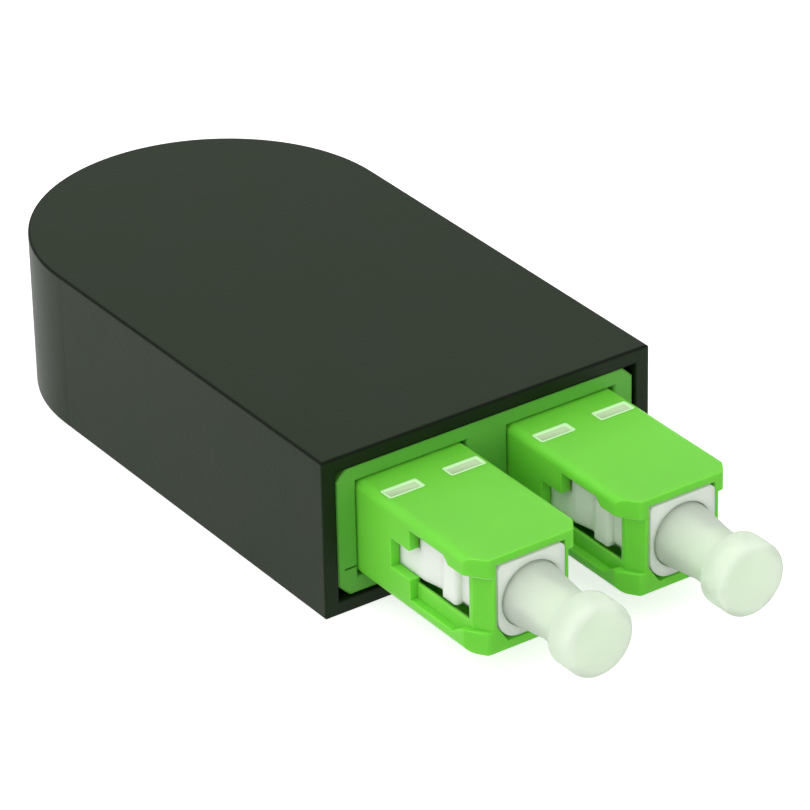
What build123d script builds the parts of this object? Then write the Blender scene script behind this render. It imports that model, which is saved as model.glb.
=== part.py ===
from build123d import *
from math import radians, tan
import os

os.makedirs("parts", exist_ok=True)

# A loopback adapter for two fibre connectors. All sizes are in millimetres.
# Origin: centre of the case's underside. The connectors point along -Y, and +Z is up.

# Case: a D-shaped moulded cup, open at the mouth, as wide as the pair of connectors and a margin
pitch = 12.7
pair_margin = 15.0
case_width = pitch + pair_margin
case_height = 12.4
case_straight = 34.2
case_wall = 1.1
case_edge = 0.15

# Housing that a finger grips. Its front corners are cut off at a slant.
housing_width = 9.1
housing_height = 7.4
housing_wall = 0.85
housing_roof = 0.6
housing_edge = 0.6
housing_reach = 13.6
housing_depth = 11.0
corner_width = 1.03
corner_length = 1.5
corner_round = 0.4

# Latch channel, slot and window in both sides of a housing. A setback is a distance behind its front.
channel_setback = 7.65
channel_high = 2.8
channel_front_high = 2.25
channel_step_setback = 3.7
channel_step_length = 0.6
channel_low = 2.7
channel_front_low = 2.0
channel_ramp_setback = 2.8
channel_ramp_length = 1.1
channel_recess = 0.62
channel_corner_recess = 0.42
slot_setback = 9.9
slot_height = 2.3
window_low = 1.55
window_high = 2.2
window_bar = 1.6
window_corner = 0.25

# Front opening of a housing
nose_slip = 0.1
opening_chamfer_x = 0.95
opening_chamfer_z = 1.4
opening_land = 0.8

# Pair of sunk insertion marks on a housing's roof
mark_length = 2.87
mark_width = 1.05
mark_spacing = 5.1
mark_place = 2.45
mark_depth = 0.12

# Key on the underside of a housing
key_width = 2.1
key_height = 0.75
key_length = 5.0
key_setback = 1.8
key_edge = 0.3

# Front frame: the plate that closes the mouth, with a sleeve behind each hole
frame_side_gap = 0.15
frame_top_gap = 0.06
frame_recess = 0.15
frame_plate = 2.0
frame_chamfer = 0.95
frame_bevel = 0.12
housing_slip = 0.075
sleeve_wall = 0.9
sleeve_lip = 1.0
sleeve_lip_depth = 1.2
slit_length = 1.1
slit_width = 0.15
slit_depth = 0.4
slit_drop = 2.9

# Plug frame: the white inner body, with a rib on each side that has a latch groove and tooth
plug_reach = 13.7
plug_depth = 6.5
nose_width = 5.45
nose_height = 5.8
nose_lift = 0.075
nose_top_corner = 0.4
nose_low_corner = 1.6
body_slip = 0.05
body_setback = 10.3
rib_setback = 9.95
rib_height = 2.2
rib_width = 7.6
groove_slope_setback = 7.1
groove_setback = 5.6
groove_width = 7.0
tooth_setback = 4.9
tooth_length = 1.5
tooth_width = 7.66
tooth_height = 2.56
tooth_bevel = 0.15
rib_front_setback = 2.2
rib_front_width = 6.6
cheek_setback = 7.5
cheek_high = 2.0
nose_bore = 4.95
nose_bore_depth = 5.6
web_hole = 3.1
web = 0.8
hex_pocket_depth = 3.2
spring_bore = 5.0

# Ferrule, its flange and the sleeve that guides the fibre into it
ferrule_diameter = 2.5
ferrule_length = 10.5
ferrule_standout = 1.6
ferrule_tip_angle = 8.0
ferrule_tip_cone = 0.4
ferrule_funnel = 0.9
ferrule_funnel_depth = 1.2
glue_line = 0.01
flange_hex = 4.2
flange_thickness = 1.8
flange_slip = 0.06
tail_diameter = 3.1
tail_length = 4.6
tube_outer = 1.5
tube_inner = 1.0
tube_seat = 2.0
tube_exit = 1.1

# Spring behind the flange
spring_mean = 3.75
spring_wire = 0.4
spring_turns = 6
spring_length = 6.4

# Stop ring behind the spring
stop_slip = 0.05
stop_collar = 5.6
stop_collar_length = 1.2
stop_bore = 1.9
stop_tail = 3.4
stop_tail_length = 4.3
stop_barb = 3.7
stop_barb_length = 0.8
lug_width = 1.6
lug_length = 1.1
lug_rise = 0.42
lug_place = 3.6
lug_slip = 0.1

# Boot over the stop ring's tail
boot_diameter = 4.6
boot_straight = 4.8
boot_tip = 2.1
boot_length = 9.2
boot_rings = 4
boot_groove = 0.35
boot_slip = 0.02
fibre_slip = 0.1

# Dust cap over the ferrule
cap_knob = 5.5
cap_knob_length = 2.55
cap_knob_edge = 0.45
cap_standout = 7.7
cap_barrel = 4.8
cap_neck = 4.05
cap_neck_standout = 3.2
cap_overlap = 4.3
cap_fillet = 0.25
cap_slip = 0.03
cap_air = 0.9

# Fibre loop
fibre_diameter = 0.9
fibre_setback = 1.6
fibre_clearance = 1.0

# Places that follow from the sizes
mouth_y = -(case_straight + case_width / 2) / 2
axis_z = case_height / 2
inner_width = case_width - 2 * case_wall
inner_height = case_height - 2 * case_wall
side_y = mouth_y + case_straight
connector_x = {"left": -pitch / 2, "right": pitch / 2}
cavity_width = housing_width - 2 * housing_wall
cavity_height = housing_height - 2 * housing_roof
channel_start = housing_reach - channel_setback
channel_step_start = housing_reach - channel_step_setback
channel_step_end = channel_step_start + channel_step_length
channel_ramp_start = housing_reach - channel_ramp_setback
channel_ramp_end = channel_ramp_start + channel_ramp_length
slot_start = housing_reach - slot_setback
window_end = housing_reach - window_bar
body_end = plug_reach - body_setback
rib_start = plug_reach - rib_setback
rib_end = plug_reach - rib_front_setback
groove_slope = plug_reach - groove_slope_setback
groove_start = plug_reach - groove_setback
tooth_start = plug_reach - tooth_setback
tooth_end = tooth_start + tooth_length
cheek_start = plug_reach - cheek_setback
cap_start = plug_reach - cap_overlap
cap_neck_reach = plug_reach + cap_neck_standout
cap_reach = plug_reach + cap_standout
ferrule_reach = plug_reach + ferrule_standout
seat_reach = plug_reach - nose_bore_depth - web
flange_back = seat_reach - flange_thickness
stop_front = flange_back - spring_length
ferrule_back = ferrule_reach - ferrule_length
tail_end = flange_back - tail_length


def across(reach):
    """Upright plane at a distance in front of the mouth, facing forward."""
    return Plane.XZ.offset(reach)


def d_outline(width, front_y):
    """Outline of a case section: straight sides, and a half circle at the back."""
    right = Line((width / 2, front_y), (width / 2, side_y))
    ThreePointArc(right @ 1, (0, side_y + width / 2), (-width / 2, side_y))
    Polyline((-width / 2, side_y), (-width / 2, front_y), right @ 0)


def slanted_outline(width, front_width, slant_start):
    """Plan of a housing whose front corners are cut off from a distance in front of the mouth."""
    Polyline(
        (width / 2, housing_depth),
        (width / 2, -slant_start),
        (front_width / 2, -housing_reach),
        (-front_width / 2, -housing_reach),
        (-width / 2, -slant_start),
        (-width / 2, housing_depth),
        close=True,
    )


def rib_outline(start):
    """Plan of the right side rib, from a distance in front of the mouth to the rib's front end."""
    Polyline(
        (0, -start),
        (rib_width / 2, -start),
        (rib_width / 2, -groove_slope),
        (groove_width / 2, -groove_start),
        (groove_width / 2, -tooth_start),
        (rib_front_width / 2, -tooth_end),
        (rib_front_width / 2, -rib_end),
        (0, -rib_end),
        close=True,
    )


def write_pair(piece, name):
    """Write one connector piece at both connector axes."""
    for side, x in connector_x.items():
        placed = piece.moved(Location((x, mouth_y, axis_z)))
        placed.label = f"{side}_{name}"
        export_step(placed, f"parts/{side}_{name}.step")


# Case
with BuildPart() as case:
    with BuildSketch(Plane.XY):
        with BuildLine():
            d_outline(case_width, mouth_y)
        make_face()
    extrude(amount=case_height)
    fillet(case.edges().group_by(Axis.Z)[0] + case.edges().group_by(Axis.Z)[-1], radius=case_edge)
    with BuildSketch(Plane.XY.offset(case_wall)):
        with BuildLine():
            d_outline(inner_width, mouth_y - case_wall)
        make_face()
    extrude(amount=inner_height, mode=Mode.SUBTRACT)
case.part.label = "case"
export_step(case.part, "parts/case.step")

# Front frame, with its two sleeves
frame_width = inner_width - 2 * frame_side_gap
frame_height = inner_height - 2 * frame_top_gap
hole_width = housing_width + 2 * housing_slip
hole_height = housing_height + 2 * housing_slip
sleeve_back = housing_depth + sleeve_lip
holes = [(x, axis_z) for x in connector_x.values()]
with BuildPart() as front_frame:
    with BuildSketch(Plane.XZ.offset(-mouth_y - frame_recess)) as plate_outline:
        with Locations((0, axis_z)):
            Rectangle(frame_width, frame_height)
        chamfer(plate_outline.vertices(), length=frame_chamfer)
    extrude(amount=-frame_plate)
    with BuildSketch(Plane.XZ.offset(-mouth_y - frame_recess)):
        with Locations(holes):
            Rectangle(hole_width + 2 * sleeve_wall, hole_height + 2 * sleeve_wall)
    extrude(amount=-(sleeve_back - frame_recess))
    with BuildSketch(Plane.XZ.offset(-mouth_y)):
        with Locations(holes):
            Rectangle(hole_width, hole_height)
    extrude(amount=-housing_depth, mode=Mode.SUBTRACT)
    with BuildSketch(Plane.XZ.offset(-mouth_y - housing_depth)):
        with Locations(holes):
            Rectangle(hole_width - 2 * sleeve_lip_depth, hole_height - 2 * sleeve_lip_depth)
    extrude(amount=-sleeve_lip, mode=Mode.SUBTRACT)
    chamfer(front_frame.edges().group_by(Axis.Y)[0], length=frame_bevel)
    # Fine slits in the two end bars, from the holes outward
    slit_x = (pitch + hole_width + slit_length) / 2
    with BuildSketch(Plane.XZ.offset(-mouth_y - frame_recess)):
        with Locations((-slit_x, axis_z - slit_drop), (slit_x, axis_z - slit_drop)):
            Rectangle(slit_length, slit_width)
    extrude(amount=-slit_depth, mode=Mode.SUBTRACT)
front_frame.part.label = "front_frame"
export_step(front_frame.part, "parts/front_frame.step")

# Cutter for the channels that the latch arms of a mating adapter run along
slant_start = housing_reach - corner_length
front_width = housing_width - 2 * corner_width
core_width = housing_width - 2 * channel_recess
core_front_width = front_width - 2 * channel_corner_recess
core_slant = slant_start + corner_length * (channel_recess - channel_corner_recess) / corner_width
with BuildPart() as channels:
    with BuildSketch(Plane.YZ):
        with BuildLine():
            Polyline(
                (-channel_start, channel_high),
                (-channel_step_start, channel_high),
                (-channel_step_end, channel_front_high),
                (-housing_reach - housing_wall, channel_front_high),
                (-housing_reach - housing_wall, -channel_front_low),
                (-channel_ramp_end, -channel_front_low),
                (-channel_ramp_start, -channel_low),
                (-channel_start, -channel_low),
                close=True,
            )
        make_face()
    extrude(amount=housing_width, both=True)
    with BuildSketch(Plane.XY.offset(-housing_height)):
        with BuildLine():
            slanted_outline(core_width, core_front_width, core_slant)
        make_face()
    extrude(amount=2 * housing_height, mode=Mode.SUBTRACT)

# Outer housing
with BuildPart() as outer_housing:
    with BuildSketch(across(-housing_depth)):
        RectangleRounded(housing_width, housing_height, housing_edge)
    extrude(amount=housing_depth + housing_reach)
    with BuildSketch(Plane.XY.offset(-housing_height)) as housing_plan:
        with BuildLine():
            slanted_outline(housing_width, front_width, slant_start)
        make_face()
        fillet(housing_plan.vertices().filter_by_position(Axis.Y, -housing_reach, 0), radius=corner_round)
    extrude(amount=2 * housing_height, mode=Mode.INTERSECT)
    add(channels.part, mode=Mode.SUBTRACT)
    # Cavity for the plug frame, narrower in front of the windows, and the front opening
    pocket_width = rib_front_width + 2 * nose_slip
    for width, end in ((cavity_width, window_end), (pocket_width, housing_reach - opening_land)):
        with BuildSketch(across(-housing_depth)):
            Rectangle(width, cavity_height)
        extrude(amount=housing_depth + end, mode=Mode.SUBTRACT)
    with BuildSketch(across(housing_reach)):
        with BuildLine():
            opening_x = nose_width / 2 + nose_slip
            opening_z = cavity_height / 2
            Polyline(
                (opening_x, opening_z),
                (-opening_x, opening_z),
                (-opening_x, opening_chamfer_z - opening_z),
                (opening_chamfer_x - opening_x, -opening_z),
                (opening_x - opening_chamfer_x, -opening_z),
                (opening_x, opening_chamfer_z - opening_z),
                close=True,
            )
        make_face()
    extrude(amount=-2 * opening_land, mode=Mode.SUBTRACT)
    # Slot and window, through both side walls
    with BuildSketch(Plane.YZ) as window_outline:
        with BuildLine():
            Polyline(
                (-slot_start, slot_height / 2),
                (-channel_start, slot_height / 2),
                (-channel_start, window_high),
                (-window_end, window_high),
                (-window_end, -window_low),
                (-channel_start, -window_low),
                (-channel_start, -slot_height / 2),
                (-slot_start, -slot_height / 2),
                close=True,
            )
        make_face()
        fillet(window_outline.vertices().group_by(Axis.X)[0], radius=window_corner)
    extrude(amount=housing_width, both=True, mode=Mode.SUBTRACT)
    # Insertion marks, sunk in the roof
    with BuildSketch(Plane.XY.offset(housing_height / 2)):
        with Locations((0, -mark_place)):
            with GridLocations(mark_spacing, 0, 2, 1):
                Rectangle(mark_length, mark_width)
    extrude(amount=-mark_depth, mode=Mode.SUBTRACT)
    # Key under the floor
    with BuildSketch(Plane.XY.offset(-housing_height / 2)):
        with Locations((0, key_setback + key_length / 2 - housing_reach)):
            RectangleRounded(key_width, key_length, key_edge)
    extrude(amount=-key_height)
write_pair(outer_housing.part, "outer_housing")

# Plug frame
with BuildPart() as plug_frame:
    for width, start in ((nose_width, plug_reach), (cavity_width - 2 * body_slip, body_end)):
        with BuildSketch(across(start)) as section:
            with Locations((0, nose_lift)):
                Rectangle(width, nose_height)
            fillet(section.vertices().group_by(Axis.Y)[-1], radius=nose_top_corner)
            fillet(section.vertices().group_by(Axis.Y)[0], radius=nose_low_corner)
        extrude(amount=-(start + plug_depth))
    # Side ribs: each slides in the housing's slot, and falls to a groove behind its latch tooth
    with BuildSketch(Plane.XY):
        with BuildLine():
            rib_outline(rib_start)
        make_face()
        mirror(about=Plane.YZ)
    extrude(amount=rib_height / 2, both=True)
    with BuildSketch(Plane.XY) as teeth:
        with Locations((0, -(tooth_start + tooth_end) / 2)):
            Rectangle(tooth_width, tooth_end - tooth_start)
        chamfer(teeth.vertices().group_by(Axis.Y)[0], length=tooth_bevel)
    extrude(amount=tooth_height / 2, both=True)
    # Cheeks, which carry the ribs and teeth up behind the window
    with BuildSketch(Plane.XY):
        with BuildLine():
            rib_outline(cheek_start)
        make_face()
        mirror(about=Plane.YZ)
        add(teeth.sketch)
    extrude(amount=cheek_high)
    # Bore for an adapter's sleeve, hole for the ferrule, seat for the flange, bore for the spring
    with BuildSketch(across(plug_reach)):
        Circle(nose_bore / 2)
    extrude(amount=-nose_bore_depth, mode=Mode.SUBTRACT)
    with BuildSketch(across(plug_reach)):
        Circle(web_hole / 2)
    extrude(amount=-(plug_reach - seat_reach), mode=Mode.SUBTRACT)
    with BuildSketch(across(seat_reach)):
        RegularPolygon((flange_hex + 2 * flange_slip) / 2, 6, major_radius=False)
    extrude(amount=-hex_pocket_depth, mode=Mode.SUBTRACT)
    with BuildSketch(across(seat_reach - hex_pocket_depth)):
        Circle(spring_bore / 2)
    extrude(amount=-(seat_reach - hex_pocket_depth + plug_depth), mode=Mode.SUBTRACT)
    # Windows that the stop ring's lugs snap into
    with BuildSketch(Plane.YZ):
        with Locations((lug_place + lug_length / 2, 0)):
            Rectangle(lug_length + 2 * lug_slip, lug_width + 2 * lug_slip)
    extrude(amount=housing_width, both=True, mode=Mode.SUBTRACT)
write_pair(plug_frame.part, "plug_frame")

# Ferrule, with its end face at the polish angle
with BuildPart() as ferrule:
    with BuildSketch(across(ferrule_reach)):
        Circle(ferrule_diameter / 2)
    extrude(amount=-ferrule_length)
    chamfer(ferrule.edges().group_by(Axis.Y)[0], length=ferrule_tip_cone)
    with BuildSketch(Plane.YZ):
        with BuildLine():
            tip_half = ferrule_diameter / 2
            tip_drop = ferrule_diameter * tan(radians(ferrule_tip_angle)) / 2
            Polyline(
                (-ferrule_reach - tip_drop, tip_half),
                (-ferrule_reach + tip_drop, -tip_half),
                (-ferrule_reach - 2 * tip_drop, -tip_half),
                close=True,
            )
        make_face()
    extrude(amount=ferrule_diameter, both=True, mode=Mode.SUBTRACT)
    with BuildSketch(Plane.XY):
        with BuildLine():
            funnel_y = ferrule_length - ferrule_reach
            Polyline(
                (0, funnel_y),
                (ferrule_funnel / 2, funnel_y),
                (0, funnel_y - ferrule_funnel_depth),
                close=True,
            )
        make_face()
    revolve(axis=Axis.Y, mode=Mode.SUBTRACT)
write_pair(ferrule.part, "ferrule")

# Ferrule flange: a hexagonal collar and a tubular tail
with BuildPart() as ferrule_flange:
    with BuildSketch(across(seat_reach)):
        RegularPolygon(flange_hex / 2, 6, major_radius=False)
    extrude(amount=-flange_thickness)
    with BuildSketch(across(flange_back)):
        Circle(tail_diameter / 2)
    extrude(amount=-tail_length)
    with BuildSketch(across(seat_reach)):
        Circle(ferrule_diameter / 2 + glue_line)
    extrude(amount=-(seat_reach - ferrule_back), mode=Mode.SUBTRACT)
    with BuildSketch(across(ferrule_back)):
        Circle(tube_inner / 2)
    extrude(amount=-(ferrule_back - tail_end), mode=Mode.SUBTRACT)
    with BuildSketch(across(tail_end)):
        Circle(tube_outer / 2 + glue_line)
    extrude(amount=tube_seat, mode=Mode.SUBTRACT)
write_pair(ferrule_flange.part, "ferrule_flange")

# Guide tube, set in the flange's tail
with BuildPart() as guide_tube:
    with BuildSketch(across(tail_end + tube_seat)):
        Circle(tube_outer / 2)
        Circle(tube_inner / 2, mode=Mode.SUBTRACT)
    extrude(amount=-(tail_end + tube_seat + plug_depth + tube_exit))
write_pair(guide_tube.part, "guide_tube")

# Spring, from the flange to the stop ring
with BuildPart() as spring:
    spring_rise = spring_length - spring_wire
    coil_start = (0, -flange_back + spring_wire / 2, 0)
    with BuildLine() as coil:
        Helix(
            pitch=spring_rise / spring_turns,
            height=spring_rise,
            radius=spring_mean / 2,
            center=coil_start,
            direction=(0, 1, 0),
        )
    with BuildSketch(Plane(origin=coil.line @ 0, z_dir=coil.line % 0)):
        Circle(spring_wire / 2)
    sweep(path=coil.line, is_frenet=True)
write_pair(spring.part, "spring")

# Stop ring, with two lugs, a collar and a tail for the boot
collar_reach = -plug_depth
tail_root = collar_reach - stop_collar_length
stop_end = tail_root - stop_tail_length
with BuildPart() as stop_ring:
    with BuildSketch(across(stop_front)):
        Circle(spring_bore / 2 - stop_slip)
    extrude(amount=-(stop_front - collar_reach))
    with BuildSketch(across(collar_reach)):
        Circle(stop_collar / 2)
    extrude(amount=-stop_collar_length)
    with BuildSketch(across(tail_root)):
        Circle(stop_tail / 2)
    extrude(amount=-stop_tail_length)
    with BuildSketch(across(tail_root - (stop_tail_length - stop_barb_length) / 2)):
        Circle(stop_barb / 2)
    extrude(amount=-stop_barb_length)
    with BuildSketch(Plane.YZ):
        with Locations((lug_place + lug_length / 2, 0)):
            Rectangle(lug_length, lug_width)
    extrude(amount=spring_bore / 2 + lug_rise, both=True)
    with BuildSketch(across(stop_front)):
        Circle(stop_bore / 2)
    extrude(amount=-(stop_front - stop_end), mode=Mode.SUBTRACT)
write_pair(stop_ring.part, "stop_ring")

# Boot, pushed over the stop ring's tail
boot_start = -tail_root
boot_end = boot_start + boot_length
with BuildPart() as boot:
    with BuildSketch(Plane.XY) as boot_section:
        with BuildLine():
            Polyline(
                (fibre_diameter / 2 + fibre_slip, boot_start),
                (boot_diameter / 2, boot_start),
                (boot_diameter / 2, boot_start + boot_straight),
                (boot_tip / 2, boot_end),
                (fibre_diameter / 2 + fibre_slip, boot_end),
                close=True,
            )
        make_face()
        with Locations((0, boot_start + stop_tail_length / 2)):
            Rectangle(stop_tail + 2 * boot_slip, stop_tail_length + 2 * boot_slip, mode=Mode.SUBTRACT)
            Rectangle(stop_barb + 2 * boot_slip, stop_barb_length + 2 * boot_slip, mode=Mode.SUBTRACT)
        ring_step = (boot_length - boot_straight) / (boot_rings + 1)
        for ring in range(boot_rings):
            ring_y = boot_start + boot_straight + (ring + 0.5) * ring_step
            ring_x = boot_diameter / 2 - (boot_diameter - boot_tip) / 2 * (ring + 0.5) / (boot_rings + 1)
            with Locations((ring_x, ring_y)):
                Rectangle(boot_groove, boot_groove, mode=Mode.SUBTRACT)
    revolve(axis=Axis.Y)
write_pair(boot.part, "boot")

# Dust cap: a barrel on the ferrule, a neck and a knob
with BuildPart() as dust_cap:
    with BuildSketch(Plane.XY) as cap_section:
        knob_start = cap_reach - cap_knob_length
        with BuildLine():
            Polyline(
                (0, -cap_start),
                (cap_barrel / 2, -cap_start),
                (cap_barrel / 2, -plug_reach),
                (cap_neck / 2, -cap_neck_reach),
                (cap_neck / 2, -knob_start),
                (cap_knob / 2, -knob_start),
                (cap_knob / 2, -cap_reach),
                (0, -cap_reach),
                close=True,
            )
        make_face()
        fillet(cap_section.vertices().group_by(Axis.X)[-1], radius=cap_knob_edge)
        fillet(cap_section.vertices().group_by(Axis.X)[1], radius=cap_fillet)
    revolve(axis=Axis.Y)
    with BuildSketch(across(cap_start)):
        Circle(ferrule_diameter / 2 + cap_slip)
    extrude(amount=ferrule_reach + cap_air - cap_start, mode=Mode.SUBTRACT)
write_pair(dust_cap.part, "dust_cap")

# Fibre loop: straight out of each flange, outward in a gentle bend, and round the closed end of the case
with BuildPart() as fibre_loop:
    fibre_bend = inner_width / 2 - fibre_clearance - fibre_diameter / 2
    fibre_tip = ferrule_back - fibre_setback
    bend_drop = (fibre_bend - pitch / 2) / 2
    bend_run = (fibre_bend**2 - (fibre_bend - bend_drop) ** 2) ** 0.5
    straight_end = side_y - 2 * bend_run
    with BuildLine(Plane.XY.offset(axis_z)) as fibre_path:
        left_run = Line((-pitch / 2, mouth_y - fibre_tip), (-pitch / 2, straight_end))
        left_out = TangentArc(
            left_run @ 1, (-pitch / 2 - bend_drop, straight_end + bend_run), tangent=left_run % 1
        )
        left_in = TangentArc(left_out @ 1, (-fibre_bend, side_y), tangent=left_out % 1)
        turn = TangentArc(left_in @ 1, (fibre_bend, side_y), tangent=left_in % 1)
        right_in = TangentArc(turn @ 1, (pitch / 2 + bend_drop, straight_end + bend_run), tangent=turn % 1)
        right_out = TangentArc(right_in @ 1, (pitch / 2, straight_end), tangent=right_in % 1)
        Line(right_out @ 1, (pitch / 2, mouth_y - fibre_tip))
    with BuildSketch(Plane.XZ.offset(-(mouth_y - fibre_tip))):
        with Locations((-pitch / 2, axis_z)):
            Circle(fibre_diameter / 2)
    sweep(path=fibre_path.line)
fibre_loop.part.label = "fibre_loop"
export_step(fibre_loop.part, "parts/fibre_loop.step")
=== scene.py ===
import math

import bpy
from mathutils import Matrix, Vector


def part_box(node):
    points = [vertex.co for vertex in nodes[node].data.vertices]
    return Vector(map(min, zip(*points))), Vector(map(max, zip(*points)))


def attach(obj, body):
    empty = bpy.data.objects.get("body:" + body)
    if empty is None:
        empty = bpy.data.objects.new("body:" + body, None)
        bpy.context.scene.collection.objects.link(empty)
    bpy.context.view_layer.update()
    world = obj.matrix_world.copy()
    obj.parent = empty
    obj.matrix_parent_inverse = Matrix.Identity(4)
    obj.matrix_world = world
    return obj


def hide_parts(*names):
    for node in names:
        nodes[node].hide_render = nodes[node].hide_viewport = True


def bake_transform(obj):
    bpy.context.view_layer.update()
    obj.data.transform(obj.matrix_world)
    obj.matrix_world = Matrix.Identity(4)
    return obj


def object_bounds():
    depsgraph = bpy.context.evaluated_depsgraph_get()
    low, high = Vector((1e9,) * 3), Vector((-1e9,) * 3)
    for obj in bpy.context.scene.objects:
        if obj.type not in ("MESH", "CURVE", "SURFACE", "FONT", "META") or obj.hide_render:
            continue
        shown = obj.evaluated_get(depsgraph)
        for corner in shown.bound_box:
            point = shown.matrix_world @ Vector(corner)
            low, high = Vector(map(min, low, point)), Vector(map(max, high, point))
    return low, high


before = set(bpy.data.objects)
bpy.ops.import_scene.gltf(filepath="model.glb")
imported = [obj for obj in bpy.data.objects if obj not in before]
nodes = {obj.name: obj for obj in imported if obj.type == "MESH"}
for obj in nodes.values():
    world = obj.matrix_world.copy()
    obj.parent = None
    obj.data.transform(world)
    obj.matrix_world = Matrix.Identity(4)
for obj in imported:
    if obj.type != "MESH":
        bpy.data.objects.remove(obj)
cad_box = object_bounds()
SIDES = ("left", "right")
MM = 0.001


def add_object(name, data):
    """An object of the scene that holds a mesh, a lamp or a camera."""
    added = bpy.data.objects.new(name, data)
    bpy.context.scene.collection.objects.link(added)
    return added


# Camera, at the photograph's viewing angle
AZIMUTH = math.radians(-34.36)
ELEVATION = math.radians(29.38)
ROLL = math.radians(-1.27)
TARGET = Vector((-8.44, -26.28, 16.13)) * MM
DISTANCE = 330.0 * MM
LENS_MM = 218.6
SENSOR_MM = 36.0
CLIP_NEAR = 0.01
CLIP_FAR = 20.0


def add_camera():
    """A long lens, rolled a little about its own axis as in the photograph."""
    back = Vector((
        math.sin(AZIMUTH) * math.cos(ELEVATION),
        -math.cos(AZIMUTH) * math.cos(ELEVATION),
        math.sin(ELEVATION),
    ))
    data = bpy.data.cameras.new("camera")
    data.lens = LENS_MM
    data.sensor_width = SENSOR_MM
    data.clip_start = CLIP_NEAR
    data.clip_end = CLIP_FAR
    camera = add_object("camera", data)
    place = Matrix.Translation(TARGET + back * DISTANCE)
    aim = (-back).to_track_quat("-Z", "Y").to_matrix().to_4x4()
    camera.matrix_world = place @ aim @ Matrix.Rotation(ROLL, 4, "Z")
    bpy.context.scene.camera = camera


# Light levels, as the brightness of a white face turned to each source
WORLD_LIGHT = 0.66
KEY_LIGHT = 0.46
KEY_FROM = Vector((-0.67, 0.06, 0.60))
FILL_LIGHT = 0.18
FILL_FROM = Vector((0.35, -0.85, 0.40))
LAMP_ANGLE = math.radians(90)

# Floor, in metres, and the glow that lifts its tone to white where the camera sees it
FLOOR_SIZE = 3.0
FLOOR_TONE = 0.7
FLOOR_WHITE = 0.72


def compute(tree, operation, *values, clamp=False):
    """Output of a math node on numbers or other nodes' outputs."""
    node = tree.nodes.new("ShaderNodeMath")
    node.operation = operation
    node.use_clamp = clamp
    for socket, value in zip(node.inputs, values):
        if isinstance(value, float):
            socket.default_value = value
        else:
            tree.links.new(value, socket)
    return node.outputs[0]


def background_mask(tree):
    """1 for a ray that sees the background straight on, in a reflection or through the material."""
    path = tree.nodes.new("ShaderNodeLightPath")
    seen = path.outputs["Is Camera Ray"]
    for ray in ("Is Glossy Ray", "Is Transmission Ray"):
        seen = compute(tree, "MAXIMUM", seen, path.outputs[ray])
    return seen


def add_world():
    """Soft light from all round, behind a background that shows white."""
    world = bpy.data.worlds.new("studio")
    world.use_nodes = True
    tree = world.node_tree
    tree.nodes.clear()
    white = tree.nodes.new("ShaderNodeBackground")
    white.inputs["Strength"].default_value = 1.0
    soft = tree.nodes.new("ShaderNodeBackground")
    soft.inputs["Strength"].default_value = WORLD_LIGHT
    for shader in (white, soft):
        shader.inputs["Color"].default_value = (1, 1, 1, 1)
    mix = tree.nodes.new("ShaderNodeMixShader")
    out = tree.nodes.new("ShaderNodeOutputWorld")
    tree.links.new(background_mask(tree), mix.inputs[0])
    tree.links.new(soft.outputs[0], mix.inputs[1])
    tree.links.new(white.outputs[0], mix.inputs[2])
    tree.links.new(mix.outputs[0], out.inputs[0])
    bpy.context.scene.world = world


def add_lamp(name, light, source):
    """A broad, distant lamp in the direction of source."""
    data = bpy.data.lights.new(name, "SUN")
    data.energy = light * math.pi
    data.angle = LAMP_ANGLE
    lamp = add_object(name, data)
    lamp.rotation_mode = "QUATERNION"
    lamp.rotation_quaternion = source.to_track_quat("Z", "Y")


def add_floor():
    """A pale floor that shows white to the camera and keeps the object's shadow."""
    half = FLOOR_SIZE / 2
    corners = [(-half, -half, 0), (half, -half, 0), (half, half, 0), (-half, half, 0)]
    mesh = bpy.data.meshes.new("floor")
    mesh.from_pydata(corners, [], [(0, 1, 2, 3)])
    floor = add_object("floor", mesh)
    material = bpy.data.materials.new("floor")
    material.use_nodes = True
    tree = material.node_tree
    tree.nodes.clear()
    diffuse = tree.nodes.new("ShaderNodeBsdfDiffuse")
    diffuse.inputs["Color"].default_value = (FLOOR_TONE, FLOOR_TONE, FLOOR_TONE, 1)
    glow = tree.nodes.new("ShaderNodeEmission")
    glow.inputs["Strength"].default_value = FLOOR_WHITE
    nothing = tree.nodes.new("ShaderNodeEmission")
    nothing.inputs["Strength"].default_value = 0
    seen_glow = tree.nodes.new("ShaderNodeMixShader")
    add = tree.nodes.new("ShaderNodeAddShader")
    out = tree.nodes.new("ShaderNodeOutputMaterial")
    tree.links.new(background_mask(tree), seen_glow.inputs[0])
    tree.links.new(nothing.outputs[0], seen_glow.inputs[1])
    tree.links.new(glow.outputs[0], seen_glow.inputs[2])
    tree.links.new(diffuse.outputs[0], add.inputs[0])
    tree.links.new(seen_glow.outputs[0], add.inputs[1])
    tree.links.new(add.outputs[0], out.inputs[0])
    floor.data.materials.append(material)


# Clouds that slowly change a plastic's tone and gloss
CLOUD_SCALE = 180.0
CLOUD_DETAIL = 3.0
CLOUD_SPAN = (0.3, 0.7)
GLOSS_SWING = 0.12

# Grain of a plastic's surface, and how finely its softened edges are sampled
GRAIN_DETAIL = 2.0
GRAIN_STRENGTH = 0.5
EDGE_SAMPLES = 6


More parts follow.
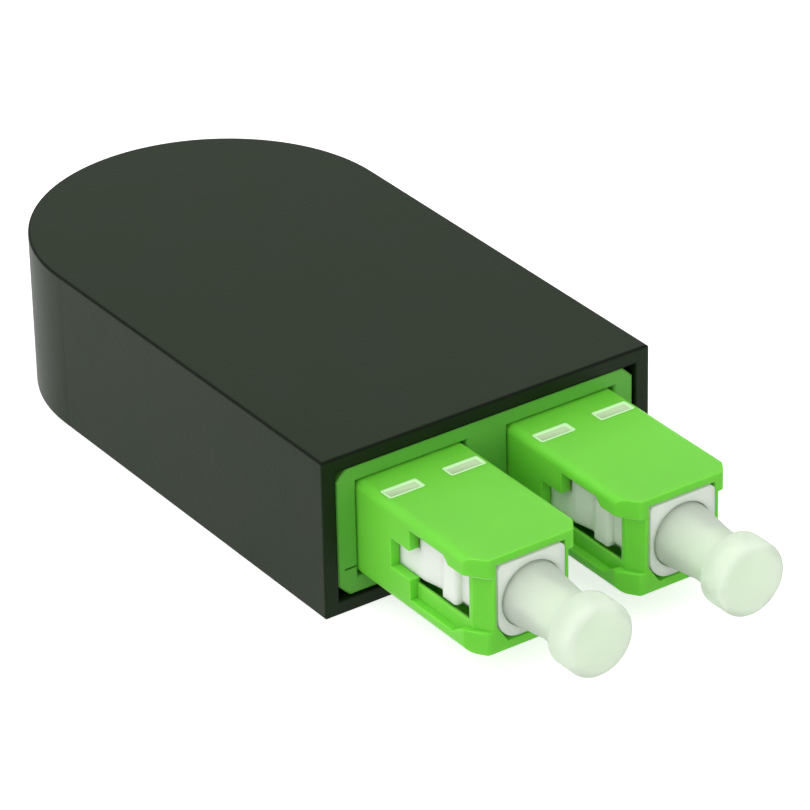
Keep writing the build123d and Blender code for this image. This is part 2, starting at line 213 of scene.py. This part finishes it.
def plastic(name, color, roughness, grain=0.02, grain_size=0.12, tint=0.06, edge_radius=0.09, **sockets):
    """Moulded plastic: a fine spark-eroded grain, a slow change of tone and of gloss, and softened edges.

    grain is the bump's height and grain_size its spacing, in millimetres as edge_radius is. tint is the
    change of tone either way, and sockets are the shader's own, with underscores for spaces."""
    material = bpy.data.materials.new(name)
    material.use_nodes = True
    tree = material.node_tree
    shader = tree.nodes["Principled BSDF"]
    for socket, value in sockets.items():
        shader.inputs[socket.replace("_", " ")].default_value = value
    place = tree.nodes.new("ShaderNodeTexCoord")
    clouds = tree.nodes.new("ShaderNodeTexNoise")
    clouds.inputs["Scale"].default_value = CLOUD_SCALE
    clouds.inputs["Detail"].default_value = CLOUD_DETAIL
    tree.links.new(place.outputs["Object"], clouds.inputs["Vector"])
    tones = tree.nodes.new("ShaderNodeValToRGB")
    for stop, position, level in zip(tones.color_ramp.elements, CLOUD_SPAN, (1 - tint, 1 + tint)):
        stop.position = position
        stop.color = (*[c * level for c in color], 1)
    tree.links.new(clouds.outputs["Fac"], tones.inputs[0])
    tree.links.new(tones.outputs[0], shader.inputs["Base Color"])
    gloss = tree.nodes.new("ShaderNodeMapRange")
    gloss.inputs["To Min"].default_value = roughness * (1 - GLOSS_SWING)
    gloss.inputs["To Max"].default_value = roughness * (1 + GLOSS_SWING)
    tree.links.new(clouds.outputs["Fac"], gloss.inputs["Value"])
    tree.links.new(gloss.outputs[0], shader.inputs["Roughness"])
    pits = tree.nodes.new("ShaderNodeTexNoise")
    pits.inputs["Scale"].default_value = 1.0 / (grain_size * MM)
    pits.inputs["Detail"].default_value = GRAIN_DETAIL
    tree.links.new(place.outputs["Object"], pits.inputs["Vector"])
    bump = tree.nodes.new("ShaderNodeBump")
    bump.inputs["Strength"].default_value = GRAIN_STRENGTH
    bump.inputs["Distance"].default_value = grain * MM
    tree.links.new(pits.outputs["Fac"], bump.inputs["Height"])
    edge = tree.nodes.new("ShaderNodeBevel")
    edge.samples = EDGE_SAMPLES
    edge.inputs["Radius"].default_value = edge_radius * MM
    tree.links.new(edge.outputs[0], bump.inputs["Normal"])
    tree.links.new(bump.outputs[0], shader.inputs["Normal"])
    return material


# Painted shade on the case: dark lines along its rounded edges and a dark crease line, with the crease
# line's width and its place from the round end in millimetres
EDGE_PAINTED_SHADE = 0.7
EDGE_ROUGH = 0.66
EDGE_BREADTH = 16.0
CREASE_PAINTED_SHADE = 0.6
CREASE_WIDTH = 0.24
CREASE_PLACE = 14.4


def add_painted_shade_lines(material):
    """Painted shade: dark lines along the rounded edges, and a dark line at the crease where each flat side
    meets the round end.
    """
    tree = material.node_tree
    shader = tree.nodes["Principled BSDF"]

    # Painted shade lines along the edges, where the softened normal is neither level nor upright
    softened = next(node for node in tree.nodes if node.type == "BEVEL")
    normal = tree.nodes.new("ShaderNodeSeparateXYZ")
    tree.links.new(softened.outputs[0], normal.inputs[0])
    level = compute(tree, "POWER", compute(tree, "ABSOLUTE", normal.outputs["Z"]), 2.0)
    upright = compute(tree, "SUBTRACT", 1.0, level)
    slope = compute(tree, "MULTIPLY", level, upright)
    edge = compute(tree, "MULTIPLY", slope, EDGE_BREADTH, clamp=True)

    # Painted shade line at the crease, on upright faces only
    place = tree.nodes.new("ShaderNodeTexCoord")
    along = tree.nodes.new("ShaderNodeSeparateXYZ")
    tree.links.new(place.outputs["Object"], along.inputs[0])
    line_y = cad_box[1][1] - CREASE_PLACE * MM
    away = compute(tree, "ABSOLUTE", compute(tree, "SUBTRACT", along.outputs["Y"], line_y))
    fade = compute(tree, "DIVIDE", away, CREASE_WIDTH / 2 * MM)
    near = compute(tree, "SUBTRACT", 1.0, fade, clamp=True)
    crease = compute(tree, "MULTIPLY", compute(tree, "MULTIPLY", near, upright), CREASE_PAINTED_SHADE)

    # Both are painted shade that darkens the colour, and the edge lines are also rougher
    dark = compute(tree, "MAXIMUM", compute(tree, "MULTIPLY", edge, EDGE_PAINTED_SHADE), crease)
    kept = compute(tree, "SUBTRACT", 1.0, dark)
    tones = shader.inputs["Base Color"].links[0].from_socket
    shade = tree.nodes.new("ShaderNodeVectorMath")
    shade.operation = "SCALE"
    tree.links.new(tones, shade.inputs[0])
    tree.links.new(kept, shade.inputs["Scale"])
    tree.links.new(shade.outputs[0], shader.inputs["Base Color"])
    gloss = shader.inputs["Roughness"].links[0].from_socket
    rough = compute(tree, "MAXIMUM", gloss, compute(tree, "MULTIPLY", edge, EDGE_ROUGH))
    tree.links.new(rough, shader.inputs["Roughness"])


def dress(material, *names):
    """Gives each named node the material."""
    for name in names:
        mesh = nodes[name].data
        mesh.materials.clear()
        mesh.materials.append(material)


def dress_pair(material, *names):
    """Gives each named piece of both plugs the material."""
    dress(material, *[f"{side}_{name}" for side in SIDES for name in names])


# Light that plastic scatters under its surface, equally in all colours
SCATTER = {"Subsurface_Radius": (1, 1, 1), "Subsurface_Weight": 1.0}


def finish_nodes():
    """Finish of every piece of the CAD model."""
    black = plastic(
        "case_black", (0.008, 0.0175, 0.005), 0.42, grain=0.03, edge_radius=0.28,
        Specular_IOR_Level=0.107,
    )
    # Painted shade lines along the case's edges and at its crease
    add_painted_shade_lines(black)
    green = plastic(
        "housing_green", (0.18, 0.665, 0.055), 0.4, grain=0.008, tint=0.03, edge_radius=0.12,
        Subsurface_Scale=0.6 * MM, Specular_IOR_Level=0.15, **SCATTER,
    )
    frame_green = plastic(
        "frame_green", (0.115, 0.41, 0.05), 0.42, grain=0.01, tint=0.03, edge_radius=0.1,
        Specular_IOR_Level=0.2,
    )
    white = plastic(
        "plug_white", (0.89, 0.955, 0.865), 0.38, grain=0.006, tint=0.015, edge_radius=0.12,
        Subsurface_Scale=1.0 * MM, Specular_IOR_Level=0.2, **SCATTER,
    )
    milky = plastic(
        "cap_milky", (0.82, 0.955, 0.77), 0.45, grain=0.01, tint=0.02, edge_radius=0.6,
        Subsurface_Scale=2.5 * MM, Specular_IOR_Level=0.15, Transmission_Weight=0.36, IOR=1.1, **SCATTER,
    )
    ceramic = plastic("ferrule_ceramic", (0.86, 0.86, 0.82), 0.12, grain=0.001, tint=0.01)
    metal = plastic("flange_metal", (0.62, 0.61, 0.58), 0.28, grain=0.004, tint=0.04, Metallic=1.0)
    wire = plastic("spring_wire", (0.55, 0.55, 0.54), 0.3, grain=0.004, tint=0.05, Metallic=1.0)
    rubber = plastic("boot_rubber", (0.10, 0.42, 0.05), 0.6, grain=0.02, tint=0.05)
    jacket = plastic("fibre_jacket", (0.86, 0.70, 0.08), 0.4, grain=0.004, tint=0.03)
    dress(black, "case")
    dress(frame_green, "front_frame")
    dress(jacket, "fibre_loop")
    dress_pair(green, "outer_housing")
    dress_pair(white, "plug_frame", "stop_ring", "guide_tube")
    dress_pair(milky, "dust_cap")
    dress_pair(ceramic, "ferrule")
    dress_pair(metal, "ferrule_flange")
    dress_pair(wire, "spring")
    dress_pair(rubber, "boot")


def add_springs():
    """Springs between stop ring and flange, copied from the dressed ones they replace."""
    for side in SIDES:
        node = f"{side}_spring"
        spring = add_object(f"{side}_spring_coil", nodes[node].data.copy())
        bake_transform(spring)
        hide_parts(node)


# Insertion marks on the housings' roofs, in millimetres
MARK_SIZE = (2.98, 1.3)
MARK_CORNER = 0.2
MARK_CORNER_MIN = 0.08
MARK_SPACING = 5.1
MARK_PLACE = 2.45
CORNER_STEPS = 6
CORNER_SIDES = ((1, 1), (-1, 1), (-1, -1), (1, -1))

# Section of a mark's ink: how far in from its outline, and how high over the roof
MARK_SECTION = ((0.0, -0.004), (0.03, 0.01), (0.1, 0.02), (0.18, 0.012), (0.205, -0.02), (0.235, -0.09))


def rounded_outline(inset, height):
    """Points of a mark's rounded outline, drawn in by inset and raised to height."""
    corner = max(MARK_CORNER - inset, MARK_CORNER_MIN)
    points = []
    for quarter, (side_x, side_y) in enumerate(CORNER_SIDES):
        centre_x = side_x * (MARK_SIZE[0] / 2 - inset - corner)
        centre_y = side_y * (MARK_SIZE[1] / 2 - inset - corner)
        for step in range(CORNER_STEPS + 1):
            turn = math.radians(90) * (quarter + step / CORNER_STEPS)
            x, y = centre_x + corner * math.cos(turn), centre_y + corner * math.sin(turn)
            points.append(Vector((x, y, height)))
    return points


def add_mark(name, place, border, floor):
    """Ink of one insertion mark, from just outside its recess to the recess's floor.

    The rounded border is bright, its pale tone partly the mark's own and partly a painted highlight on its
    raised rim, and the floor greyer."""
    loops = [rounded_outline(inset, height) for inset, height in MARK_SECTION]
    count = len(loops[0])
    corners = [place + point * MM for loop in loops for point in loop]
    faces = []
    for ring in range(len(loops) - 1):
        outer, inner = ring * count, (ring + 1) * count
        for k in range(count):
            after = (k + 1) % count
            faces.append((outer + k, outer + after, inner + after, inner + k))
    faces.append(tuple(range((len(loops) - 1) * count, len(loops) * count)))
    mesh = bpy.data.meshes.new(name)
    mesh.from_pydata(corners, [], faces)
    mesh.materials.append(border)
    mesh.materials.append(floor)
    for face in mesh.polygons:
        face.use_smooth = True
    mesh.polygons[len(faces) - 1].material_index = 1
    mark = add_object(name, mesh)
    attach(mark, "root")


def add_marks():
    """A pair of marks on each housing, side by side in front of the case's mouth."""
    # The border's pale tone is partly a painted highlight on the mark's raised rim
    border = plastic("mark_border_painted_highlight", (0.61, 0.97, 0.50), 0.4, grain=0.004, tint=0.02, Specular_IOR_Level=0.2)
    floor = plastic("mark_floor", (0.52, 0.69, 0.41), 0.5, grain=0.01, tint=0.04, Specular_IOR_Level=0.2)
    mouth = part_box("case")[0][1]
    for side in SIDES:
        low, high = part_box(f"{side}_outer_housing")
        middle = (low[0] + high[0]) / 2
        for number, step in enumerate((-1, 1), 1):
            place = Vector((middle + step * MARK_SPACING / 2 * MM, mouth - MARK_PLACE * MM, high[2]))
            add_mark(f"{side}_mark_{number}", place, border, floor)


add_camera()
add_world()
add_lamp("key", KEY_LIGHT, KEY_FROM)
add_lamp("fill", FILL_LIGHT, FILL_FROM)
add_floor()
finish_nodes()
add_springs()
add_marks()

bpy.context.scene.view_settings.view_transform = "Standard"
